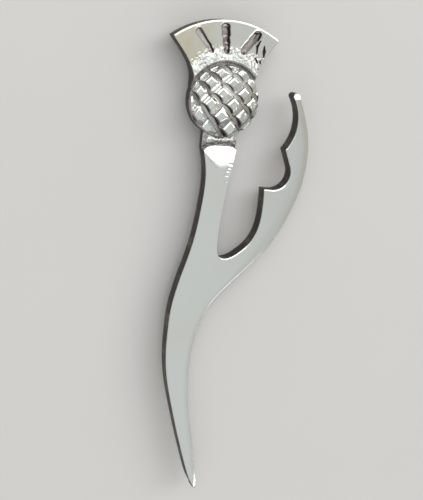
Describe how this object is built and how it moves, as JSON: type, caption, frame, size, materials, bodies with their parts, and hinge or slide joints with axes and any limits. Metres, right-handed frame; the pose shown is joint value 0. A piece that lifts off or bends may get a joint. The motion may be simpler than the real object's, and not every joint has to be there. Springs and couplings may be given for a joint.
{
  "type": "thistle kilt pin",
  "caption": "Cast metal kilt pin with a thistle head, a curved pointed stem and one notched leaf, with a pin fitting on its back.",
  "frame": {"origin": "under the middle of the outline, on the surface that the feet of the pin fitting stand on", "axes": "+Z out of the face, +Y from the stem's point to the thistle head, +X towards the leaf"},
  "size_m": [0.0313, 0.0998, 0.011],
  "materials": {
    "casting_metal": "bright plated, softly polished, dark in the recesses of the head",
    "pin_metal": "plain drawn steel"
  },
  "bodies": {
    "root": {"thistle_casting": "casting_metal", "pin_fitting": "pin_metal"}
  },
  "joints": []
}
